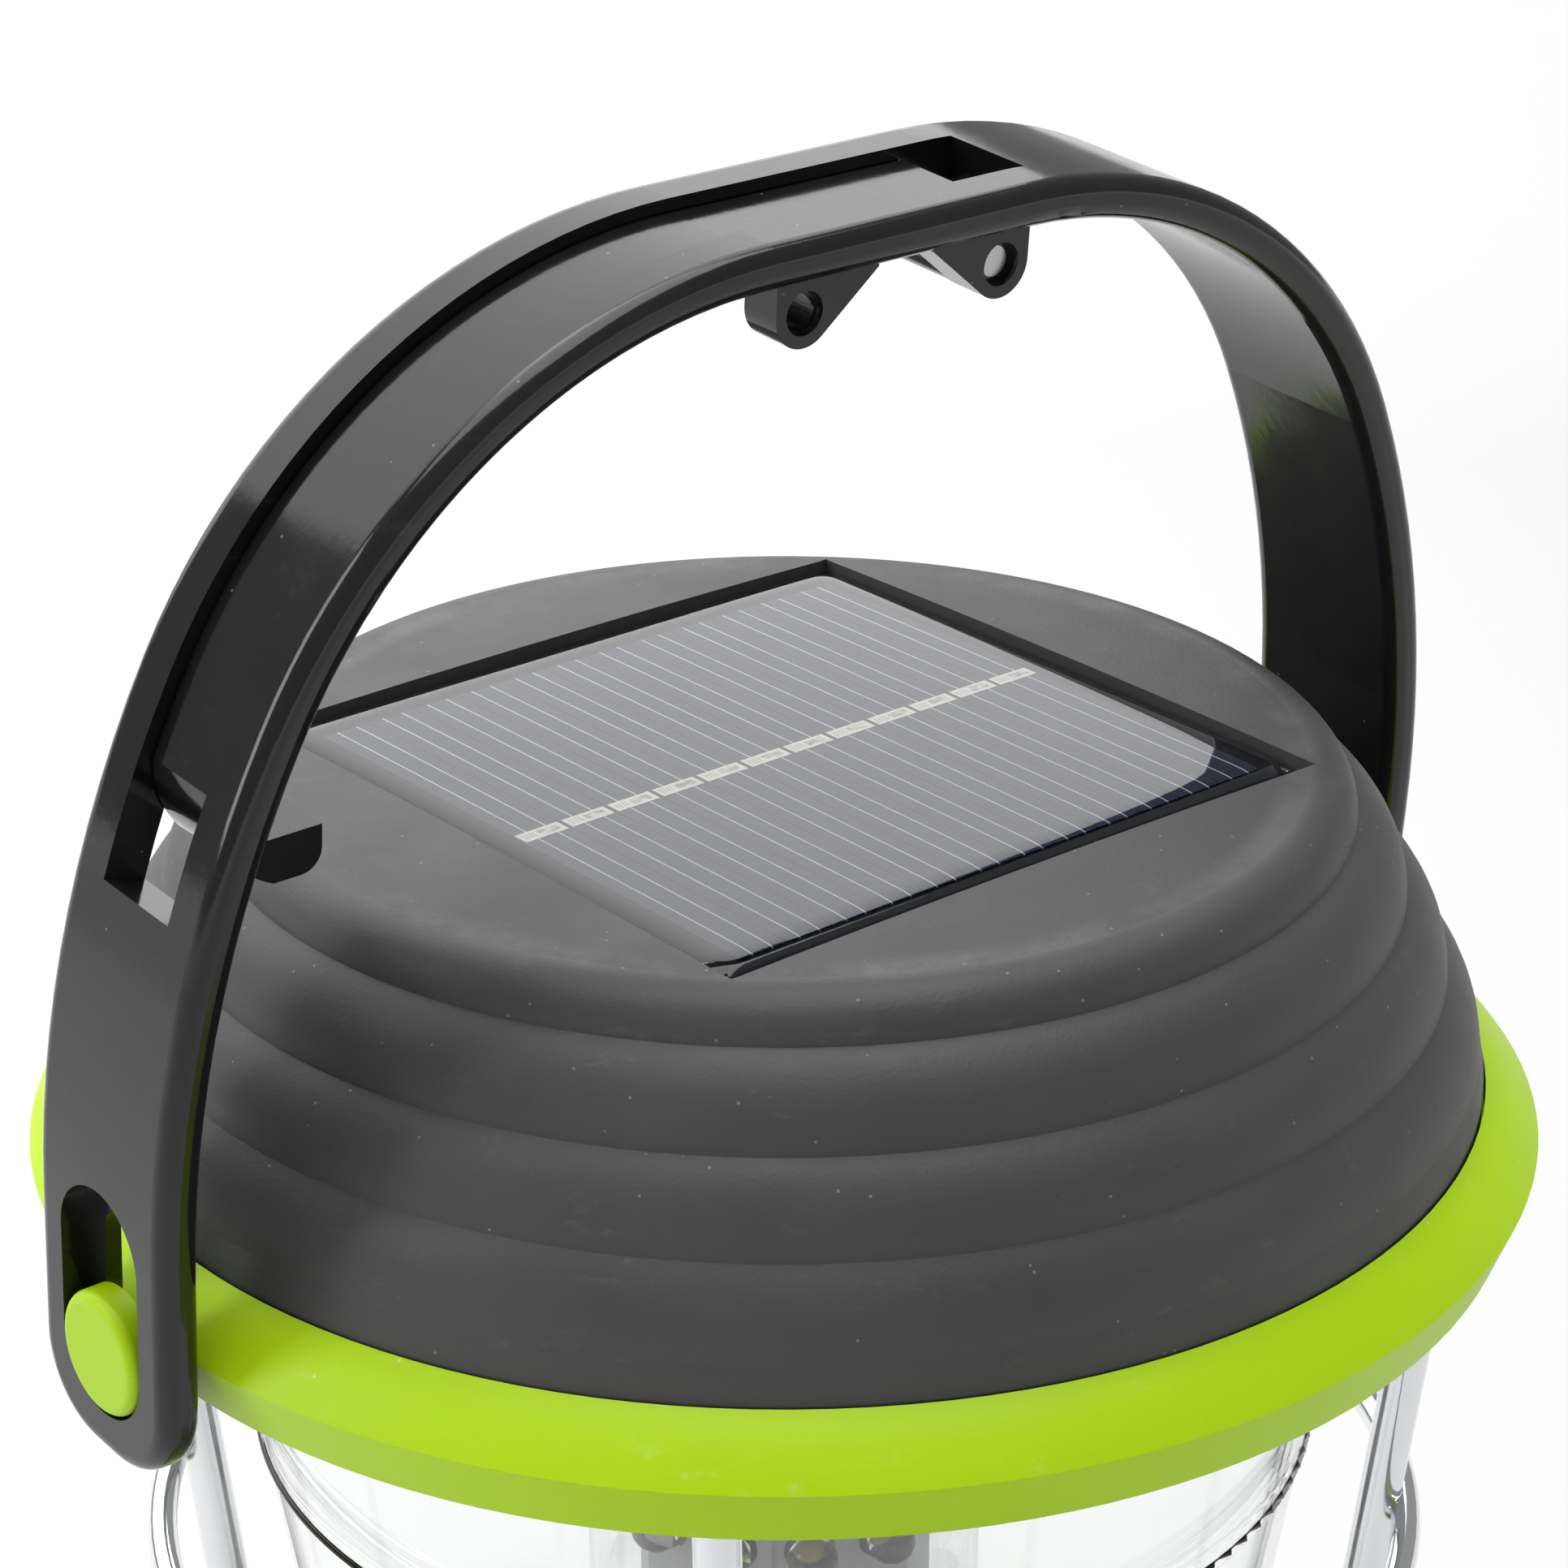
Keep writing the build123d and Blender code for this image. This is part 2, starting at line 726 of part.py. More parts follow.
# ---- Base ----
shell_top = base_height - base_ring_height
shell_roof = shell_top - base_wall
waist_radius = base_radius - base_step_run * base_steps
switch_face = shelf_middle + shelf_length / 2 - switch_setback
shelf_height = button_height - button_radius - button_flange - cut_margin
with BuildPart() as base_shell:
    with BuildSketch(Plane.XZ):
        with BuildLine():
            step_height = (shell_top - skirt_height) / base_steps
            Line((base_radius, cover_lift), (base_radius, skirt_height))
            for step in range(base_steps):
                TangentArc(
                    (base_radius - base_step_run * step, skirt_height + step_height * step),
                    (base_radius - base_step_run * (step + 1), skirt_height + step_height * (step + 1)),
                    tangent=(0, 1),
                )
            Polyline(
                (waist_radius, shell_top),
                (flange_opening, shell_top),
                (flange_opening, shell_roof),
                (waist_radius - base_wall, shell_roof),
                (base_radius - base_wall, skirt_height),
                (base_radius - base_wall, cover_lift),
                (base_radius, cover_lift),
            )
        make_face()
    revolve(axis=Axis.Z)
    cover_top = cover_lift + cover_thickness
    with BuildSketch(Plane.XY.offset(cover_top)):
        with PolarLocations(base_boss_circle, 4, start_angle=base_boss_turn):
            Circle(boss_radius)
    extrude(amount=shell_roof - cover_top)
    with BuildSketch(Plane.XY.offset(cover_top)):
        with PolarLocations(base_boss_circle, 4, start_angle=base_boss_turn):
            Circle(screw_radius + screw_gap)
    extrude(amount=screw_length, mode=Mode.SUBTRACT)
    # A shelf with a stand for the switch, and a flat pad round the charging socket
    with BuildSketch(Plane.XY.offset(shelf_height - shelf_thickness)):
        with Locations((0, -shelf_middle)):
            Rectangle(switch_size + 2 * shelf_rim, shelf_length)
    extrude(amount=shelf_thickness)
    with BuildSketch(Plane.XY.offset(shelf_height)):
        with Locations((0, switch_depth / 2 - switch_face)):
            Rectangle(switch_size, switch_depth)
    extrude(amount=button_height - switch_size / 2 - shelf_height)
    with BuildSketch(Plane.XZ.offset(-pad_face)):
        with Locations((0, socket_height + pad_rise)):
            Rectangle(pad_width, pad_height)
    extrude(amount=pad_depth)
    for side in (-1, 1):
        with BuildSketch(Plane.YZ.offset(side * (pad_width - ear_thickness) / 2)):
            with Locations((pad_face + flap_axis_gap, flap_axis_height)):
                Circle(flap_knuckle + ear_rim)
            with Locations((pad_face + (flap_axis_gap - ear_lap) / 2, flap_axis_height)):
                Rectangle(flap_axis_gap + ear_lap, 2 * (flap_knuckle + ear_rim))
        extrude(amount=ear_thickness / 2, both=True)
    with BuildSketch(Plane.YZ):
        with Locations((pad_face + flap_axis_gap, flap_axis_height)):
            Circle(flap_pin_radius)
    extrude(amount=pad_width, both=True, mode=Mode.SUBTRACT)
    # Openings for the button, the light and the socket
    with BuildSketch(Plane.XZ.offset(shelf_middle)):
        with Locations((0, button_height)):
            Circle(button_radius + button_gap)
        with Locations((light_place, button_height)):
            Circle(light_radius + fit_gap)
    extrude(amount=base_radius, mode=Mode.SUBTRACT)
    with BuildSketch(Plane.XZ.offset(-pad_face)):
        with Locations((0, socket_height)):
            Circle(socket_radius + socket_wall)
    extrude(amount=socket_length, mode=Mode.SUBTRACT)
keep(base_shell, "base_shell")

with BuildPart() as base_ring:
    with BuildSketch(Plane.XZ):
        with BuildLine():
            Polyline(
                (base_ring_inner - deck_ledge, shell_top),
                (flange_opening - fit_gap - lip_wall, shell_top),
                (flange_opening - fit_gap - lip_wall, shell_roof),
                (flange_opening - fit_gap, shell_roof),
                (flange_opening - fit_gap, shell_top),
                (waist_radius, shell_top),
                (waist_radius + base_ring_flare, shell_top + base_ring_rise),
                (waist_radius + base_ring_crown, base_height),
                (base_ring_inner, base_height),
                (base_ring_inner, deck_top - deck_thickness),
                (base_ring_inner - deck_ledge, deck_top - deck_thickness),
                close=True,
            )
        make_face()
    revolve(axis=Axis.Z)
    for angle in rod_angles:
        with BuildSketch(rod_plane(angle, rod_bottom)):
            Circle(rod_radius + socket_gap)
        extrude(amount=2 * socket_depth, mode=Mode.SUBTRACT)
    with BuildSketch(Plane.XY.offset(deck_top)):
        with PolarLocations(deck_screw_circle, 4):
            Circle(small_screw_radius + screw_gap)
    extrude(amount=-small_screw_length - screw_gap, mode=Mode.SUBTRACT)
keep(base_ring, "base_ring")

post_length = deck_top - deck_thickness - board_lift - board_thick
with BuildPart() as base_deck:
    with BuildSketch(Plane.XY.offset(deck_top)):
        Circle(base_ring_inner - fit_gap)
        Circle(column_bore, mode=Mode.SUBTRACT)
        with PolarLocations(deck_screw_circle, 4):
            Circle(small_screw_radius + screw_gap, mode=Mode.SUBTRACT)
    extrude(amount=-deck_thickness)
    with BuildSketch(Plane.XY.offset(deck_top)):
        Circle(globe_outer(deck_top) - globe_wall - fit_gap)
        Circle(globe_outer(deck_top) - 2 * globe_wall - fit_gap, mode=Mode.SUBTRACT)
    extrude(amount=plate_lip)
    # Posts for the control board
    with BuildSketch(Plane.XY.offset(deck_top - deck_thickness)):
        with GridLocations(board_length - 2 * post_inset, board_width - 2 * post_inset, 2, 2):
            Circle(post_radius)
    extrude(amount=-post_length)
    with BuildSketch(Plane.XY.offset(board_lift + board_thick)):
        with GridLocations(board_length - 2 * post_inset, board_width - 2 * post_inset, 2, 2):
            Circle(small_screw_radius + screw_gap)
    extrude(amount=small_screw_length, mode=Mode.SUBTRACT)
keep(base_deck, "base_deck")

with BuildPart() as deck_screws:
    with BuildSketch(Plane.XY.offset(deck_top)):
        with PolarLocations(deck_screw_circle, 4):
            Circle(small_head_radius)
    extrude(amount=small_head_height)
    with BuildSketch(Plane.XY.offset(deck_top)):
        with PolarLocations(deck_screw_circle, 4):
            Circle(small_screw_radius)
    extrude(amount=-small_screw_length)
keep(deck_screws, "deck_screws")

with BuildPart() as base_cover:
    with BuildSketch(Plane.XY.offset(cover_lift)):
        Circle(base_radius - base_wall - fit_gap)
        with PolarLocations(base_boss_circle, 4, start_angle=base_boss_turn):
            Circle(screw_radius + screw_gap, mode=Mode.SUBTRACT)
    extrude(amount=cover_thickness)
    with BuildSketch(Plane.XY.offset(cover_lift)):
        with PolarLocations(base_boss_circle, 4, start_angle=base_boss_turn):
            Circle(screw_head_radius + fit_gap)
        with PolarLocations(foot_pad_circle, 4):
            Circle(foot_pad_radius + fit_gap)
    extrude(amount=pocket_depth, mode=Mode.SUBTRACT)
keep(base_cover, "base_cover")

with BuildPart() as cover_screws:
    head_seat = cover_lift + pocket_depth
    with BuildSketch(Plane.XY.offset(head_seat)):
        with PolarLocations(base_boss_circle, 4, start_angle=base_boss_turn):
            Circle(screw_head_radius)
    extrude(amount=-pocket_depth)
    with BuildSketch(Plane.XY.offset(head_seat)):
        with PolarLocations(base_boss_circle, 4, start_angle=base_boss_turn):
            Circle(screw_radius)
    extrude(amount=screw_length)
keep(cover_screws, "cover_screws")

with BuildPart() as foot_pads:
    with BuildSketch(Plane.XY):
        with PolarLocations(foot_pad_circle, 4):
            Circle(foot_pad_radius)
    extrude(amount=cover_lift + pocket_depth)
keep(foot_pads, "foot_pads")

cell_axis = cover_top + tray_base + cell_radius
with BuildPart() as battery_tray:
    with BuildSketch(Plane.XY.offset(cover_top)):
        Rectangle(cell_body_length + 2 * tray_end, cell_bay * battery_count + tray_side)
    extrude(amount=tray_base + cell_radius)
    with BuildSketch(Plane.YZ.offset(-cell_body_length / 2 - nub_length)):
        with Locations((0, cell_axis)):
            with GridLocations(cell_bay, 1, battery_count, 1):
                Circle(cell_radius + fit_gap)
    extrude(amount=cell_body_length + 2 * nub_length, mode=Mode.SUBTRACT)
keep(battery_tray, "battery_tray")

with BuildPart() as battery_cells:
    with BuildSketch(Plane.YZ.offset(-cell_body_length / 2)):
        with Locations((0, cell_axis)):
            with GridLocations(cell_bay, 1, battery_count, 1):
                Circle(cell_radius)
    extrude(amount=cell_body_length)
    with BuildSketch(Plane.YZ.offset(cell_body_length / 2)):
        with Locations((0, cell_axis)):
            with GridLocations(cell_bay, 1, battery_count, 1):
                Circle(nub_radius)
    extrude(amount=nub_length - fit_gap)
keep(battery_cells, "battery_cells")

with BuildPart() as control_board:
    with BuildSketch(Plane.XY.offset(board_lift)):
        Rectangle(board_length, board_width)
        with GridLocations(board_length - 2 * post_inset, board_width - 2 * post_inset, 2, 2):
            Circle(small_screw_radius + screw_gap, mode=Mode.SUBTRACT)
    extrude(amount=board_thick)
keep(control_board, "control_board")

with BuildPart() as board_parts:
    with BuildSketch(Plane.XY.offset(board_lift + board_thick)):
        with Locations(chip_place):
            Rectangle(chip_length, chip_width)
        with Locations(*coil_places):
            Circle(coil_radius)
        with Locations(module_place):
            Rectangle(module_size, module_size)
    extrude(amount=board_part_height)
keep(board_parts, "board_parts")

with BuildPart() as board_screws:
    with BuildSketch(Plane.XY.offset(board_lift)):
        with GridLocations(board_length - 2 * post_inset, board_width - 2 * post_inset, 2, 2):
            Circle(small_head_radius)
    extrude(amount=-small_head_height)
    with BuildSketch(Plane.XY.offset(board_lift)):
        with GridLocations(board_length - 2 * post_inset, board_width - 2 * post_inset, 2, 2):
            Circle(small_screw_radius)
    extrude(amount=small_screw_length)
keep(board_screws, "board_screws")

with BuildPart() as lamp_wires:
    with BuildSketch(Plane.XY.offset(board_lift + board_thick)):
        with Locations((wire_spacing / 2, 0), (-wire_spacing / 2, 0)):
            Circle(wire_radius)
    extrude(amount=cell_base - board_lift - board_thick)
keep(lamp_wires, "lamp_wires")

# ---- Button, switch and charging socket ----
button_face = base_radius + button_proud - base_step_run
with BuildPart() as power_button:
    with BuildSketch(Plane.XZ.offset(button_face - button_depth)):
        with Locations((0, button_height)):
            Circle(button_radius)
    extrude(amount=button_depth)
    fillet(power_button.faces().sort_by(Axis.Y)[0].edges(), radius=button_round)
    with BuildSketch(Plane.XZ.offset(button_face - button_depth)):
        with Locations((0, button_height)):
            Circle(button_radius + button_flange)
    extrude(amount=button_rim)
    with BuildSketch(Plane.XZ.offset(button_face - button_depth)):
        with Locations((0, button_height)):
            Circle(stem_radius)
    extrude(amount=switch_face - stem_depth - button_face + button_depth)
keep(power_button, "power_button")

with BuildPart() as switch_body:
    with BuildSketch(Plane.XZ.offset(switch_face - switch_depth)):
        with Locations((0, button_height)):
            Rectangle(switch_size, switch_size)
    extrude(amount=switch_depth)
    with BuildSketch(Plane.XZ.offset(switch_face)):
        with Locations((0, button_height)):
            Circle(stem_radius + pin_running_gap)
    extrude(amount=-stem_depth - button_travel - fit_gap, mode=Mode.SUBTRACT)
keep(switch_body, "switch_body")

with BuildPart() as charge_light:
    with BuildSketch(Plane.XZ.offset(base_radius - light_depth)):
        with Locations((light_place, button_height)):
            Circle(light_radius)
    extrude(amount=light_depth - base_step_run)
keep(charge_light, "charge_light")

with BuildPart() as charge_socket:
    with BuildSketch(Plane.XZ.offset(-pad_face)):
        with Locations((0, socket_height)):
            Circle(socket_radius + socket_wall - screw_gap)
            Circle(socket_radius, mode=Mode.SUBTRACT)
    extrude(amount=socket_length)
    with BuildSketch(Plane.XZ.offset(socket_length - pad_face)):
        with Locations((0, socket_height)):
            Rectangle(2 * (socket_radius + socket_wall), 2 * (socket_radius + socket_wall))
    extrude(amount=socket_back)
keep(charge_socket, "charge_socket")

flap_width = pad_width - 2 * ear_thickness - 2 * fit_gap
flap_drop = flap_axis_height - socket_height + socket_radius + flap_overlap
with BuildPart() as socket_cover:
    with BuildSketch(Plane.YZ):
        with Locations((pad_face + flap_axis_gap, flap_axis_height)):
            Circle(flap_knuckle)
        with Locations((pad_face + flap_axis_gap, flap_axis_height - flap_drop / 2)):
            Rectangle(2 * flap_knuckle, flap_drop)
        tab_height = flap_axis_height - flap_drop + flap_tab_height / 2
        with Locations((pad_face + flap_axis_gap + flap_knuckle, tab_height)):
            Rectangle(flap_tab_width, flap_tab_height)
        with Locations((pad_face + flap_axis_gap, flap_axis_height)):
            Circle(flap_pin_radius + pin_running_gap, mode=Mode.SUBTRACT)
    extrude(amount=flap_width / 2, both=True)
keep(socket_cover, "socket_cover")

with BuildPart() as cover_pin:
    with BuildSketch(Plane.YZ):
        with Locations((pad_face + flap_axis_gap, flap_axis_height)):
            Circle(flap_pin_radius)
    extrude(amount=pad_width / 2, both=True)
keep(cover_pin, "cover_pin")


os.makedirs("parts", exist_ok=True)
for piece in finished:
    export_step(piece, f"parts/{piece.label}.step")
    print(piece.label, len(piece.solids()), round(piece.volume))
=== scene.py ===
import bmesh
import bpy
import json
import math
from mathutils import Matrix, Vector


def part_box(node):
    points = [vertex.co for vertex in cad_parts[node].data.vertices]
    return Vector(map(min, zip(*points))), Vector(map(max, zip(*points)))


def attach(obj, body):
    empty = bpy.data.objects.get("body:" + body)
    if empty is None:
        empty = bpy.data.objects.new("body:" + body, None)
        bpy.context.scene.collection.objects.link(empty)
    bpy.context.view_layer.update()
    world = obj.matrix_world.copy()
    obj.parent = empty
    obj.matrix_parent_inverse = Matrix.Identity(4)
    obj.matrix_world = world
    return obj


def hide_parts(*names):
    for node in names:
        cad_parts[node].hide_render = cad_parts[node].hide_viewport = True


# Solar lantern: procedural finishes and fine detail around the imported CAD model. Metres, +Z up.
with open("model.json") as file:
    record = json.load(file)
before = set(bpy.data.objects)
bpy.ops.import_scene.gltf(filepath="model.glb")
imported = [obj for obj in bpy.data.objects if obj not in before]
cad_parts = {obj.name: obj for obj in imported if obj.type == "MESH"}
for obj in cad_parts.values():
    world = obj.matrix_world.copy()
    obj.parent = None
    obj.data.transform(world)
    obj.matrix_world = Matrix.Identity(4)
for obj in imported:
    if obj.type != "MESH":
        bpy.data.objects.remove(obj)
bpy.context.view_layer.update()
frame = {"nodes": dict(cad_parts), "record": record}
scene = bpy.context.scene
nodes = frame["nodes"]
print("frame loaded:", len(nodes), "nodes")

# Camera
cameraSizes = {
    "place": (-0.24117, -0.28824, 0.36997),
    "aim": (0.0, 0.0, 0.2048),
    "lens": 96.58,
    "sensor": 36.0,
}


def makeCamera(sizes):
    camera = bpy.data.objects.new("camera", bpy.data.cameras.new("camera"))
    scene.collection.objects.link(camera)
    camera.location = sizes["place"]
    toAim = Vector(sizes["aim"]) - Vector(sizes["place"])
    camera.rotation_euler = toAim.to_track_quat("-Z", "Y").to_euler()
    camera.data.lens = sizes["lens"]
    camera.data.sensor_width = sizes["sensor"]
    camera.data.clip_start = 0.01
    scene.camera = camera


makeCamera(cameraSizes)
print("camera placed")


# Node helpers shared by all the finishes
def startMaterial(name):
    material = bpy.data.materials.new(name)
    material.use_nodes = True
    tree = material.node_tree
    shader = tree.nodes["Principled BSDF"]
    place = tree.nodes.new("ShaderNodeTexCoord").outputs["Object"]
    return material, tree, shader, place


def addNoise(tree, place, scale, detail=4.0, rough=0.5, stretch=None):
    if stretch:
        mapping = tree.nodes.new("ShaderNodeMapping")
        mapping.inputs["Scale"].default_value = stretch
        tree.links.new(place, mapping.inputs["Vector"])
        place = mapping.outputs["Vector"]
    noise = tree.nodes.new("ShaderNodeTexNoise")
    noise.inputs["Scale"].default_value = scale
    noise.inputs["Detail"].default_value = detail
    noise.inputs["Roughness"].default_value = rough
    tree.links.new(place, noise.inputs["Vector"])
    return noise.outputs["Fac"]


def addRange(tree, value, fromLow, fromHigh, toLow, toHigh):
    span = tree.nodes.new("ShaderNodeMapRange")
    ends = {"From Min": fromLow, "From Max": fromHigh, "To Min": toLow, "To Max": toHigh}
    for socket, number in ends.items():
        span.inputs[socket].default_value = number
    tree.links.new(value, span.inputs["Value"])
    return span.outputs["Result"]


def addMath(tree, operation, first, second=None):
    step = tree.nodes.new("ShaderNodeMath")
    step.operation = operation
    for socket, value in zip(step.inputs, (first, second)):
        if value is None:
            continue
        if isinstance(value, (int, float)):
            socket.default_value = value
        else:
            tree.links.new(value, socket)
    return step.outputs[0]


def addMix(tree, factor, first, second):
    mix = tree.nodes.new("ShaderNodeMix")
    mix.data_type = "RGBA"
    for socket, value in ((mix.inputs[0], factor), (mix.inputs[6], first), (mix.inputs[7], second)):
        if isinstance(value, (int, float, tuple)):
            socket.default_value = value
        else:
            tree.links.new(value, socket)
    return mix.outputs[2]


def addSpecks(tree, place, scale, share, size):
    # that share of the Voronoi cells gets a dot, sized in cell units
    cells = tree.nodes.new("ShaderNodeTexVoronoi")
    cells.inputs["Scale"].default_value = scale
    tree.links.new(place, cells.inputs["Vector"])
    split = tree.nodes.new("ShaderNodeSeparateColor")
    tree.links.new(cells.outputs["Color"], split.inputs["Color"])
    near = addRange(tree, cells.outputs["Distance"], size * 0.6, size, 1.0, 0.0)
    chosen = addMath(tree, "LESS_THAN", split.outputs[0], share)
    return addMath(tree, "MULTIPLY", near, chosen)


def addBump(tree, shader, height, strength, distance):
    bump = tree.nodes.new("ShaderNodeBump")
    bump.inputs["Strength"].default_value = strength
    bump.inputs["Distance"].default_value = distance
    tree.links.new(height, bump.inputs["Height"])
    tree.links.new(bump.outputs["Normal"], shader.inputs["Normal"])
    return bump


def shade(colour, factor):
    return tuple(min(1.0, part * factor) for part in colour[:3]) + (1.0,)


# Moulded plastics: the same recipe with its own numbers for each colour
plasticLooks = {
    "darkPlastic": {"colour": (0.058, 0.0565, 0.059), "light": 1.20, "rough": (0.46, 0.58), "grain": 2600,
                    "bump": 0.12, "dust": (0.34, 0.33, 0.32), "speck": (950, 0.05, 0.17), "scuff": 0.10,
                    "specular": 0.46, "band": (0.0500, 0.0024, 0.205, 0.16)},
    "blackPlastic": {"colour": (0.0075, 0.007, 0.007), "light": 1.5, "rough": (0.08, 0.16), "grain": 700,
                     "bump": 0.03, "dust": (0.30, 0.29, 0.27), "speck": (800, 0.03, 0.14), "scuff": 0.05,
                     "specular": 0.5},
    "greenPlastic": {"colour": (0.455, 0.72, 0.0015), "light": 1.05, "rough": (0.36, 0.48), "grain": 2200,
                     "bump": 0.05, "dust": (0.80, 0.92, 0.45), "speck": (600, 0.03, 0.12), "scuff": 0.14,
                     "specular": 0.30},
    "whitePlastic": {"colour": (0.80, 0.80, 0.79), "light": 1.05, "rough": (0.30, 0.42), "grain": 1500,
                     "bump": 0.04, "dust": (0.55, 0.54, 0.52), "speck": (500, 0.02, 0.10), "scuff": 0.04,
                     "specular": 0.5},
    "panelBacking": {"colour": (0.008, 0.009, 0.014), "light": 1.3, "rough": (0.5, 0.6), "grain": 300,
                     "bump": 0.01, "dust": (0.3, 0.3, 0.3), "speck": (800, 0.01, 0.10), "scuff": 0.02,
                     "specular": 0.15},
    "rubber": {"colour": (0.020, 0.020, 0.020), "light": 1.3, "rough": (0.62, 0.8), "grain": 2400,
               "bump": 0.14, "dust": (0.3, 0.29, 0.28), "speck": (700, 0.05, 0.14), "scuff": 0.12,
               "specular": 0.3},
    "chips": {"colour": (0.03, 0.03, 0.032), "light": 1.25, "rough": (0.45, 0.6), "grain": 2500,
              "bump": 0.06, "dust": (0.3, 0.3, 0.3), "speck": (600, 0.02, 0.1), "scuff": 0.04,
              "specular": 0.4},
}


plasticSizes = {
    "cloudScale": 45.0,
    "cloudSpan": (0.35, 0.7),
    "scuffScale": 160.0,
    "scuffStretch": (1.0, 1.0, 2.6),
    "scuffSpan": (0.60, 0.74),
    "speckShare": 0.5,
    "wanderScale": 90.0,
    "wanderSpan": (0.3, 0.7),
    "bumpDepth": 0.0003,
    "chalkScale": 55.0,
    "chalkSpan": (0.42, 0.62),
    "chalkCore": 0.3,
}


def addChalkBand(tree, place, colour, look):
    # rubbed, chalky wear round the rim of the dome's flat top
    radius, half, floor, strength = look["band"]
    split = tree.nodes.new("ShaderNodeSeparateXYZ")
    tree.links.new(place, split.inputs["Vector"])
    squares = [addMath(tree, "MULTIPLY", split.outputs[axis], split.outputs[axis]) for axis in (0, 1)]
    out = addMath(tree, "SQRT", addMath(tree, "ADD", *squares))
    away = addMath(tree, "ABSOLUTE", addMath(tree, "SUBTRACT", out, radius))
    ring = addRange(tree, away, half * plasticSizes["chalkCore"], half, strength, 0.0)
    ring = addMath(tree, "MULTIPLY", ring, addMath(tree, "GREATER_THAN", split.outputs[2], floor))
    chalk = addNoise(tree, place, plasticSizes["chalkScale"], 6.0, 0.75)
    patchy = addRange(tree, chalk, *plasticSizes["chalkSpan"], 0.0, 1.0)
    return addMix(tree, addMath(tree, "MULTIPLY", ring, patchy), colour, look["dust"] + (1.0,))


def makePlastic(name, look):
    material, tree, shader, place = startMaterial(name)
    base = shade(look["colour"], 1.0)
    clouds = addNoise(tree, place, plasticSizes["cloudScale"], 3.0)
    cloudy = addRange(tree, clouds, *plasticSizes["cloudSpan"], 0.0, 1.0)
    colour = addMix(tree, cloudy, base, shade(look["colour"], look["light"]))
    scuffNoise = addNoise(tree, place, plasticSizes["scuffScale"], 6.0, 0.7, plasticSizes["scuffStretch"])
    scuffs = addRange(tree, scuffNoise, *plasticSizes["scuffSpan"], 0.0, look["scuff"])
    colour = addMix(tree, scuffs, colour, look["dust"] + (1.0,))
    scale, share, size = look["speck"]
    dots = addSpecks(tree, place, scale, share, size)
    specks = addMath(tree, "MULTIPLY", dots, plasticSizes["speckShare"])
    colour = addMix(tree, specks, colour, look["dust"] + (1.0,))
    if "band" in look:
        colour = addChalkBand(tree, place, colour, look)
    tree.links.new(colour, shader.inputs["Base Color"])
    grain = addNoise(tree, place, look["grain"], 2.0)
    low, high = look["rough"]
    wandering = addNoise(tree, place, plasticSizes["wanderScale"], 5.0, 0.6)
    wander = addRange(tree, wandering, *plasticSizes["wanderSpan"], low, high)
    tree.links.new(wander, shader.inputs["Roughness"])
    shader.inputs["Specular IOR Level"].default_value = look["specular"]
    addBump(tree, shader, grain, look["bump"], plasticSizes["bumpDepth"])
    return material


metalSizes = {"patchScale": 70.0, "shadeSpan": (0.9, 1.05), "roughSpan": (0.3, 0.75), "bumpDepth": 0.0002}
metalLooks = {
    "chromePlate": {"colour": (0.80, 0.81, 0.83), "rough": (0.05, 0.13),
                    "line": (1.0, 1.0, 0.05), "scale": 1400,
                    "bump": 0.02},
    "zincSteel": {"colour": (0.56, 0.56, 0.57), "rough": (0.22, 0.40), "line": (1.0, 1.0, 1.0), "scale": 900,
                  "bump": 0.05},
}


def makeMetal(name, look):
    material, tree, shader, place = startMaterial(name)
    fine = addNoise(tree, place, look["scale"], 3.0, 0.5, look["line"])
    patch = addNoise(tree, place, metalSizes["patchScale"], 4.0, 0.6)
    dull, bright = (shade(look["colour"], factor) for factor in metalSizes["shadeSpan"])
    colour = addMix(tree, patch, dull, bright)
    tree.links.new(colour, shader.inputs["Base Color"])
    shader.inputs["Metallic"].default_value = 1.0
    low, high = look["rough"]
    rough = addRange(tree, patch, *metalSizes["roughSpan"], low, high)
    tree.links.new(rough, shader.inputs["Roughness"])
    addBump(tree, shader, fine, look["bump"], metalSizes["bumpDepth"])
    return material


clearSizes = {"smearScale": 120.0, "smearShade": 0.97, "roughSpan": (0.45, 0.8), "bumpDepth": 0.0005}
clearLooks = {
    "clearGlobe": {"colour": (0.985, 0.99, 0.995), "rough": (0.01, 0.06), "ior": 1.49,
                   "bump": 0.03, "scale": 60},
    "clearEpoxy": {"colour": (0.96, 0.965, 0.97), "rough": (0.01, 0.03), "ior": 1.5,
                   "bump": 0.01, "scale": 35},
    "ledLens": {"colour": (0.97, 0.97, 0.95), "rough": (0.01, 0.05), "ior": 1.5, "bump": 0.02, "scale": 200},
}


def makeClear(name, look):
    material, tree, shader, place = startMaterial(name)
    wave = addNoise(tree, place, look["scale"], 2.0, 0.4)
    smear = addNoise(tree, place, clearSizes["smearScale"], 5.0, 0.65)
    smeared = shade(look["colour"], clearSizes["smearShade"])
    colour = addMix(tree, smear, smeared, look["colour"] + (1.0,))
    tree.links.new(colour, shader.inputs["Base Color"])
    low, high = look["rough"]
    rough = addRange(tree, smear, *clearSizes["roughSpan"], low, high)
    tree.links.new(rough, shader.inputs["Roughness"])
    shader.inputs["Transmission Weight"].default_value = 1.0
    shader.inputs["IOR"].default_value = look["ior"]
    addBump(tree, shader, wave, look["bump"], clearSizes["bumpDepth"])
    return material


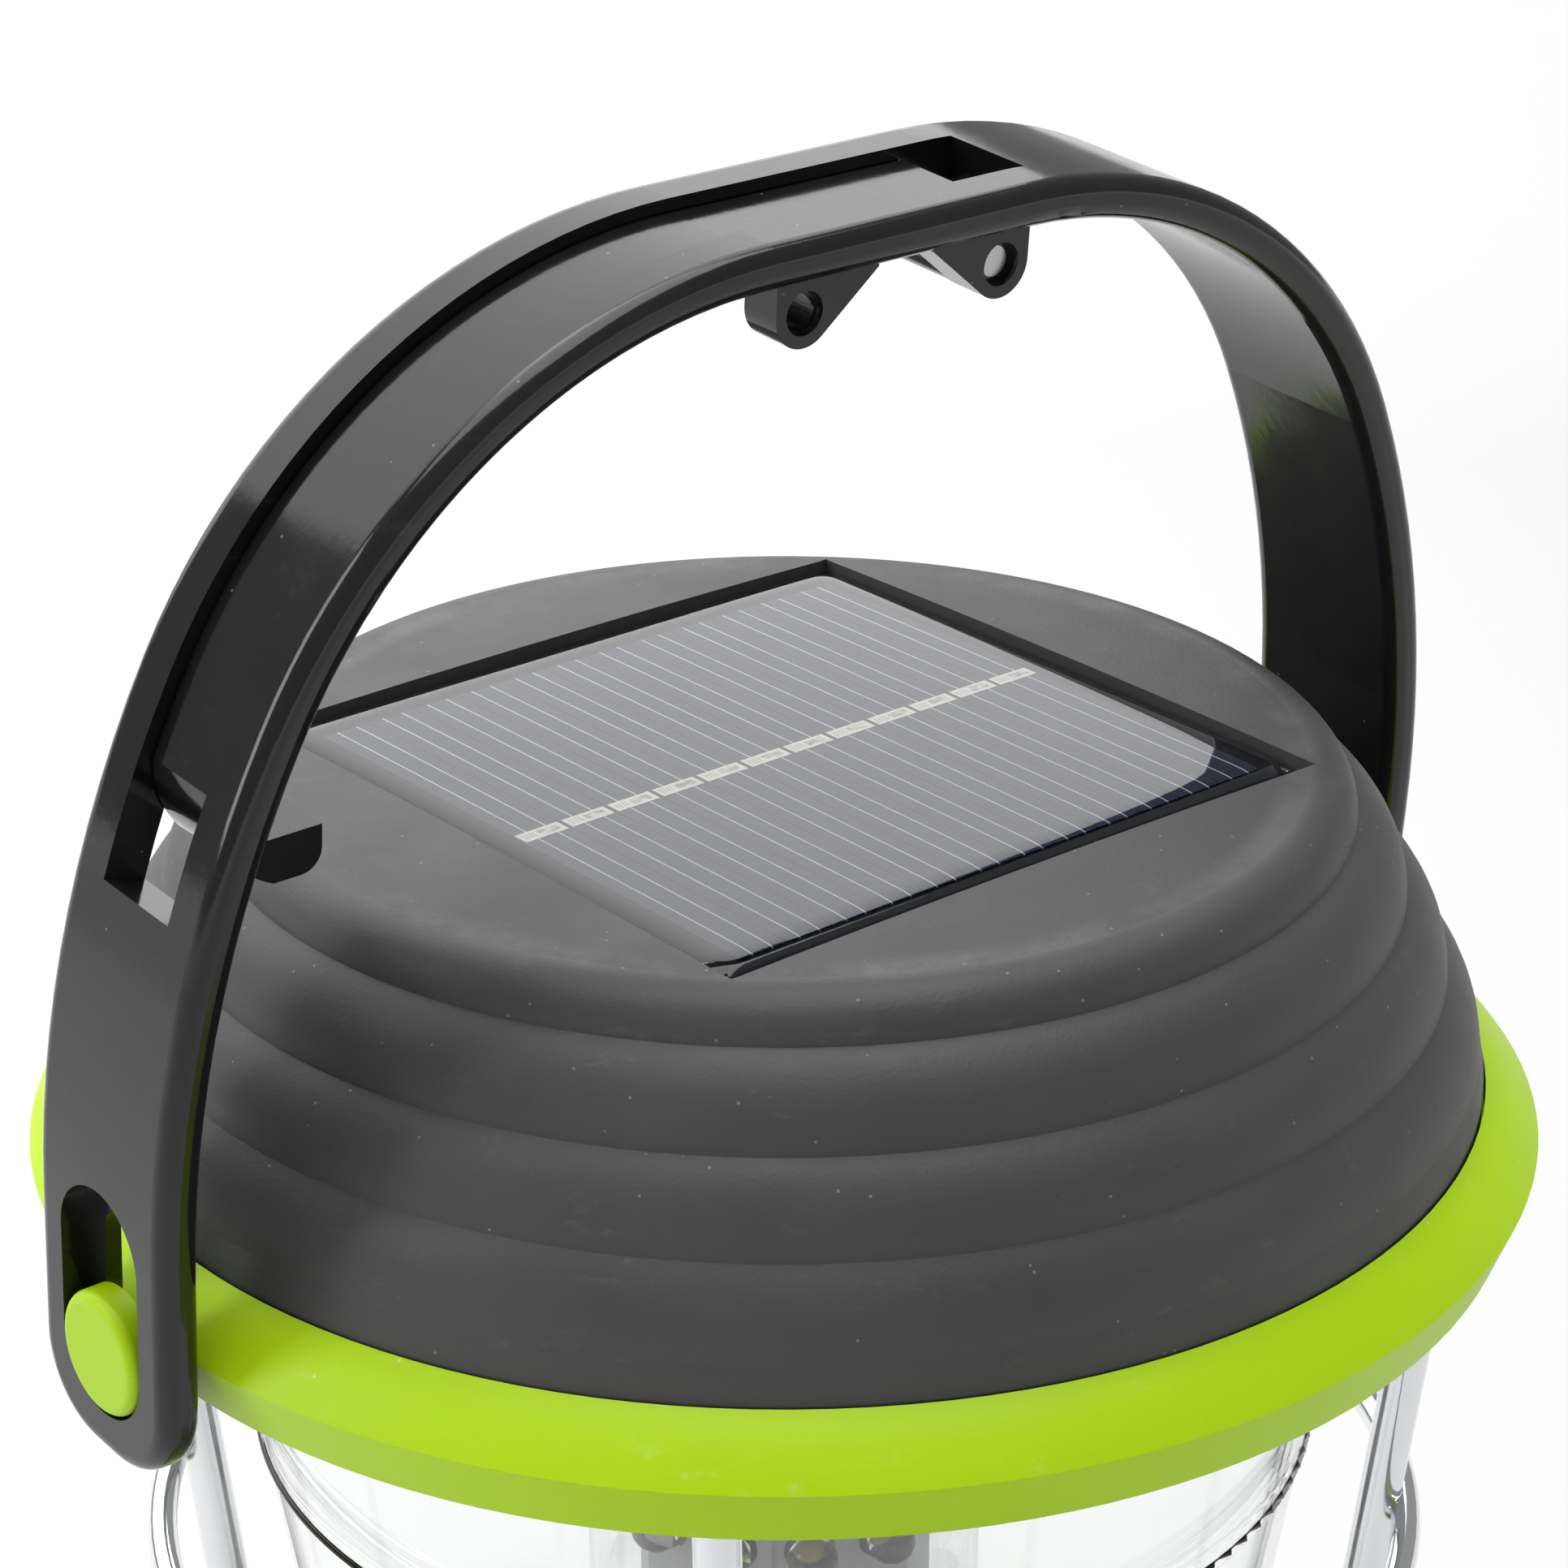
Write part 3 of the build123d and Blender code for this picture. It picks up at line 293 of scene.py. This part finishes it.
# Solar cells: dark blue silicon with two printed fingers on each cell, and dull gaps between the cells
cellSizes = {
    "pitch": 0.00542,
    "count": 12,
    "fingers": (0.30, 0.72),
    "fingerHalf": 0.00009,
    "gapHalf": 0.00022,
    "blue": (0.005, 0.010, 0.042, 1.0),
    "blueLight": (0.010, 0.020, 0.070, 1.0),
    "silver": (0.66, 0.66, 0.64, 1.0),
    "gap": (0.028, 0.023, 0.020, 1.0),
    "crystalScale": 220.0,
    "crystalSpan": (0.3, 0.7),
    "rough": (0.28, 0.42),
    "bump": (0.05, 0.0001),
}


def cellPhase(tree, place, sizes):
    # 0 to 1 across each cell along X
    split = tree.nodes.new("ShaderNodeSeparateXYZ")
    tree.links.new(place, split.inputs["Vector"])
    low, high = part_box("solar_cells")
    offset = sizes["count"] / 2 * sizes["pitch"] - (low.x + high.x) / 2
    along = addMath(tree, "DIVIDE", addMath(tree, "ADD", split.outputs["X"], offset), sizes["pitch"])
    return addMath(tree, "FRACT", along), split


def lineAt(tree, phase, centre, half):
    away = addMath(tree, "ABSOLUTE", addMath(tree, "SUBTRACT", phase, centre))
    return addRange(tree, away, half * 0.8, half * 1.2, 1.0, 0.0)


def makeSilicon(sizes):
    material, tree, shader, place = startMaterial("blueSilicon")
    phase, split = cellPhase(tree, place, sizes)
    crystal = addNoise(tree, place, sizes["crystalScale"], 5.0, 0.7)
    colour = addMix(tree, crystal, sizes["blue"], sizes["blueLight"])
    fromEdge = addMath(tree, "MINIMUM", phase, addMath(tree, "SUBTRACT", 1.0, phase))
    gapShare = sizes["gapHalf"] / sizes["pitch"]
    gaps = addRange(tree, fromEdge, gapShare * 0.7, gapShare * 1.3, 1.0, 0.0)
    colour = addMix(tree, gaps, colour, sizes["gap"])
    silver = None
    for centre in sizes["fingers"]:
        line = lineAt(tree, phase, centre, sizes["fingerHalf"] / sizes["pitch"])
        silver = line if silver is None else addMath(tree, "MAXIMUM", silver, line)
    colour = addMix(tree, silver, colour, sizes["silver"])
    tree.links.new(colour, shader.inputs["Base Color"])
    rough = addRange(tree, crystal, *sizes["crystalSpan"], *sizes["rough"])
    tree.links.new(rough, shader.inputs["Roughness"])
    addBump(tree, shader, crystal, *sizes["bump"])
    return material


ribbonSizes = {
    "pitch": 0.00542,
    "count": 12,
    "cream": (0.84, 0.82, 0.74, 1.0),
    "solder": (0.34, 0.33, 0.30, 1.0),
    "slit": (0.05, 0.05, 0.06, 1.0),
    "slits": (0.14, 0.21, 0.28, 0.35),
    "slitHalf": 0.010,
    "solderSpan": (0.42, 0.88),
    "solderHalf": 0.00052,
    "blotScale": 1500.0,
    "blotStretch": (0.5, 1.0, 1.0),
    "blotSpan": (0.42, 0.56),
    "thinSolder": 0.15,
    "slitShare": 0.7,
    "metallic": 0.25,
    "roughSpan": (0.3, 0.7),
    "rough": (0.35, 0.55),
    "bump": (0.2, 0.0002),
}


def makeRibbon(sizes):
    material, tree, shader, place = startMaterial("tinnedRibbon")
    phase, split = cellPhase(tree, place, sizes)
    blot = addNoise(tree, place, sizes["blotScale"], 4.0, 0.7, sizes["blotStretch"])
    low, high = sizes["solderSpan"]
    middle, half = (low + high) / 2, (high - low) / 2
    inSpan = addRange(tree, addMath(tree, "ABSOLUTE", addMath(tree, "SUBTRACT", phase, middle)),
                      half * 0.8, half, 1.0, 0.0)
    inWidth = addRange(tree, addMath(tree, "ABSOLUTE", split.outputs["Y"]),
                       sizes["solderHalf"] * 0.8, sizes["solderHalf"] * 1.2, 1.0, 0.0)
    patch = addMath(tree, "MULTIPLY", inSpan, inWidth)
    blotchy = addRange(tree, blot, *sizes["blotSpan"], sizes["thinSolder"], 1.0)
    patch = addMath(tree, "MULTIPLY", patch, blotchy)
    colour = addMix(tree, patch, sizes["cream"], sizes["solder"])
    slits = None
    for centre in sizes["slits"]:
        line = lineAt(tree, phase, centre, sizes["slitHalf"])
        slits = line if slits is None else addMath(tree, "MAXIMUM", slits, line)
    slits = addMath(tree, "MULTIPLY", slits, inWidth)
    slits = addMath(tree, "MULTIPLY", slits, sizes["slitShare"])
    colour = addMix(tree, slits, colour, sizes["slit"])
    tree.links.new(colour, shader.inputs["Base Color"])
    shader.inputs["Metallic"].default_value = sizes["metallic"]
    rough = addRange(tree, blot, *sizes["roughSpan"], *sizes["rough"])
    tree.links.new(rough, shader.inputs["Roughness"])
    addBump(tree, shader, blot, *sizes["bump"])
    return material


boardSizes = {"green": (0.012, 0.11, 0.04, 1.0), "track": (0.02, 0.19, 0.07, 1.0), "scale": 380.0}


def makeBoard(sizes):
    material, tree, shader, place = startMaterial("solderMask")
    tracks = tree.nodes.new("ShaderNodeTexBrick")
    tracks.inputs["Scale"].default_value = sizes["scale"]
    tracks.inputs["Mortar Size"].default_value = 0.06
    tracks.inputs["Color1"].default_value = sizes["green"]
    tracks.inputs["Color2"].default_value = shade(sizes["green"], 1.1)
    tracks.inputs["Mortar"].default_value = sizes["track"]
    tree.links.new(place, tracks.inputs["Vector"])
    tree.links.new(tracks.outputs["Color"], shader.inputs["Base Color"])
    fine = addNoise(tree, place, 900.0, 3.0)
    tree.links.new(addRange(tree, fine, 0.3, 0.7, 0.25, 0.4), shader.inputs["Roughness"])
    addBump(tree, shader, tracks.outputs["Fac"], 0.15, 0.0001)
    return material


sleeveSizes = {"bandSpan": (0.35, 0.75), "bandShare": 0.5}
sleeveLooks = {
    "batterySleeve": {"colour": (0.03, 0.14, 0.06), "band": (0.65, 0.66, 0.62),
                      "scale": 60.0, "rough": (0.18, 0.3)},
    "wireSleeve": {"colour": (0.42, 0.02, 0.02), "band": (0.30, 0.015, 0.015),
                   "scale": 900.0, "rough": (0.4, 0.55)},
}


def makeSleeve(name, look):
    material, tree, shader, place = startMaterial(name)
    fine = addNoise(tree, place, look["scale"], 4.0)
    banding = addRange(tree, fine, *sleeveSizes["bandSpan"], 0.0, sleeveSizes["bandShare"])
    colour = addMix(tree, banding, look["colour"] + (1.0,), look["band"] + (1.0,))
    tree.links.new(colour, shader.inputs["Base Color"])
    low, high = look["rough"]
    tree.links.new(addRange(tree, fine, 0.3, 0.7, low, high), shader.inputs["Roughness"])
    addBump(tree, shader, addNoise(tree, place, 700.0, 2.0), 0.08, 0.0002)
    return material


phosphorSizes = {"yellow": (0.85, 0.62, 0.06, 1.0), "pale": (0.95, 0.80, 0.30, 1.0)}


def makePhosphor(sizes):
    material, tree, shader, place = startMaterial("ledPhosphor")
    fine = addNoise(tree, place, 3000.0, 3.0)
    tree.links.new(addMix(tree, fine, sizes["yellow"], sizes["pale"]), shader.inputs["Base Color"])
    tree.links.new(addRange(tree, fine, 0.3, 0.7, 0.4, 0.6), shader.inputs["Roughness"])
    addBump(tree, shader, fine, 0.2, 0.0001)
    return material


finishes = {name: makePlastic(name, look) for name, look in plasticLooks.items()}
finishes.update({name: makeMetal(name, look) for name, look in metalLooks.items()})
finishes.update({name: makeClear(name, look) for name, look in clearLooks.items()})
finishes.update({name: makeSleeve(name, look) for name, look in sleeveLooks.items()})
finishes["blueSilicon"] = makeSilicon(cellSizes)
finishes["tinnedRibbon"] = makeRibbon(ribbonSizes)
finishes["solderMask"] = makeBoard(boardSizes)
finishes["ledPhosphor"] = makePhosphor(phosphorSizes)
print("finishes made:", len(finishes))

slotFinish = {
    "dark_plastic": "darkPlastic",
    "black_plastic": "blackPlastic",
    "green_plastic": "greenPlastic",
    "white_plastic": "whitePlastic",
    "clear_plastic": "clearGlobe",
    "chrome": "chromePlate",
    "steel": "zincSteel",
    "silicon": "blueSilicon",
    "resin": "clearEpoxy",
    "ribbon": "tinnedRibbon",
    "board": "solderMask",
    "panel_backing": "panelBacking",
    "rubber": "rubber",
    "battery_sleeve": "batterySleeve",
    "wire_sleeve": "wireSleeve",
    "led_body": "ledLens",
    "chips": "chips",
}
for part in frame["record"]["subparts"]:
    cadPiece = nodes[part["node"]]
    cadPiece.data.materials.clear()
    cadPiece.data.materials.append(finishes[slotFinish[part["material_slot"]]])
print("finishes on the CAD nodes")


def finishPiece(work, name, body, finish):
    mesh = bpy.data.meshes.new(name)
    bmesh.ops.remove_doubles(work, verts=work.verts, dist=1e-7)
    bmesh.ops.recalc_face_normals(work, faces=work.faces)
    work.to_mesh(mesh)
    work.free()
    for face in mesh.polygons:
        face.use_smooth = True
    piece = bpy.data.objects.new(name, mesh)
    scene.collection.objects.link(piece)
    mesh.materials.append(finishes[finish])
    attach(piece, body)
    return piece


# Potting resin: a poured crown, nearly flat in the middle, that rolls off at the panel's edge
resinSizes = {
    "rows": 96,
    "crowding": 0.5,
    "edge": 0.0034,
    "drop": 0.0008,
    "roll": 2.6,
    "crown": 0.00016,
    "crownPower": 4,
    "sink": 0.00003,
}


def makeResin(sizes):
    low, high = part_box("panel_resin")
    centre = (low + high) / 2
    half = (high - low) / 2
    work = bmesh.new()
    bmesh.ops.create_grid(work, x_segments=sizes["rows"], y_segments=sizes["rows"], size=1.0)
    for point in work.verts:
        # rows crowd towards the edge, where the surface turns down
        for axis in (0, 1):
            share = point.co[axis]
            crowded = math.sin(share * math.pi / 2)
            point.co[axis] = half[axis] * (share + sizes["crowding"] * (crowded - share))
        over = [max(0.0, abs(point.co[axis]) - half[axis] + sizes["edge"]) for axis in (0, 1)]
        turned = min(1.0, math.hypot(*over) / sizes["edge"])
        point.co.z = -sizes["drop"] * (1 - math.sqrt(1 - turned ** sizes["roll"]))
        for axis in (0, 1):
            point.co.z -= sizes["crown"] * (abs(point.co[axis]) / half[axis]) ** sizes["crownPower"]
    skirt = bmesh.ops.extrude_face_region(work, geom=list(work.faces))
    for item in skirt["geom"]:
        if isinstance(item, bmesh.types.BMVert):
            item.co.z = low.z - high.z - sizes["sink"]
    bmesh.ops.translate(work, verts=work.verts, vec=(centre.x, centre.y, high.z))
    piece = finishPiece(work, "panelResinCrown", "housing", "clearEpoxy")
    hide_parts("panel_resin")
    return piece


makeResin(resinSizes)
print("panel resin made")

# Inside each lamp: a small cup with a yellow phosphor spot
lampSizes = {"count": 12, "rows": 3, "pitch": 0.022, "top": 0.127, "reach": 0.0155, "cup": 0.0012,
             "spot": 0.00085,
             "cupBack": -0.0008, "cupDepth": 0.0012, "cupTaper": 0.6}


def makeLampCores(sizes):
    spots = bmesh.new()
    cups = bmesh.new()
    for row in range(sizes["rows"]):
        for index in range(sizes["count"]):
            turn = Matrix.Rotation(math.tau * index / sizes["count"], 4, "Z")
            place = turn @ Matrix.Translation((sizes["reach"], 0, sizes["top"] - row * sizes["pitch"]))
            place = place @ Matrix.Rotation(math.pi / 2, 4, "Y")
            bmesh.ops.create_uvsphere(spots, u_segments=12, v_segments=6, radius=sizes["spot"], matrix=place)
            back = place @ Matrix.Translation((0, 0, sizes["cupBack"]))
            bmesh.ops.create_cone(cups, cap_ends=True, segments=16, radius1=sizes["cup"] * sizes["cupTaper"],
                                  radius2=sizes["cup"], depth=sizes["cupDepth"], matrix=back)
    finishPiece(spots, "lampPhosphorSpots", "housing", "ledPhosphor")
    finishPiece(cups, "lampReflectorCups", "housing", "chromePlate")


makeLampCores(lampSizes)
print("lamp cores made")

# Studio: a pale floor, a white surround, a broad soft box behind on the left and one overhead
studioSizes = {
    "floor": 6.0,
    "floorTone": ((0.70, 0.70, 0.70, 1.0), (0.73, 0.73, 0.73, 1.0)),
    "floorGlow": (0.7, 2.6, 0.0, 0.8),
    "surround": 1.0,
    "fill": 0.32,
    "boxes": {
        "backBox": {"place": (0.174, 0.985, 0.95), "aim": (0, 0, 0.2), "size": (1.78, 1.5), "glow": 1.75},
        "sideStrip": {"place": (-1.0, 0.55, 0.75), "aim": (0, 0, 0.25), "size": (0.35, 0.9), "glow": 4.5},
        "topBox": {"place": (0.05, 0.05, 1.5), "aim": (0, 0, 0.2), "size": (1.3, 1.3), "glow": 3.0},
    },
}


def makeFloor(sizes):
    work = bmesh.new()
    bmesh.ops.create_grid(work, x_segments=4, y_segments=4, size=sizes["floor"])
    mesh = bpy.data.meshes.new("floor")
    work.to_mesh(mesh)
    work.free()
    floor = bpy.data.objects.new("floor", mesh)
    scene.collection.objects.link(floor)
    material, tree, shader, place = startMaterial("paleFloor")
    tone = addNoise(tree, place, 3.0, 2.0)
    tree.links.new(addMix(tree, tone, *sizes["floorTone"]), shader.inputs["Base Color"])
    shader.inputs["Roughness"].default_value = 0.8
    # far from the lantern the floor glows a little, so that it meets the white surround
    reach = tree.nodes.new("ShaderNodeVectorMath")
    reach.operation = "LENGTH"
    tree.links.new(place, reach.inputs[0])
    glow = addRange(tree, reach.outputs["Value"], *sizes["floorGlow"])
    shader.inputs["Emission Color"].default_value = (1.0, 1.0, 1.0, 1.0)
    tree.links.new(glow, shader.inputs["Emission Strength"])
    mesh.materials.append(material)


def makeWorld(sizes):
    world = bpy.data.worlds.new("studio")
    scene.world = world
    world.use_nodes = True
    tree = world.node_tree
    background = tree.nodes["Background"]
    background.inputs["Color"].default_value = (1.0, 1.0, 1.0, 1.0)
    seen = tree.nodes.new("ShaderNodeLightPath").outputs["Is Camera Ray"]
    glow = addRange(tree, seen, 0.0, 1.0, sizes["fill"], sizes["surround"])
    tree.links.new(glow, background.inputs["Strength"])


def makeSoftBox(name, box):
    light = bpy.data.lights.new(name, "AREA")
    light.shape = "RECTANGLE"
    light.size, light.size_y = box["size"]
    light.energy = box["glow"] * math.pi * box["size"][0] * box["size"][1]
    lamp = bpy.data.objects.new(name, light)
    scene.collection.objects.link(lamp)
    lamp.location = box["place"]
    lamp.rotation_euler = (Vector(box["aim"]) - Vector(box["place"])).to_track_quat("-Z", "Y").to_euler()
    lamp.visible_camera = False


makeFloor(studioSizes)
makeWorld(studioSizes)
for name, box in studioSizes["boxes"].items():
    makeSoftBox(name, box)
scene.view_settings.view_transform = "Standard"
print("studio set")
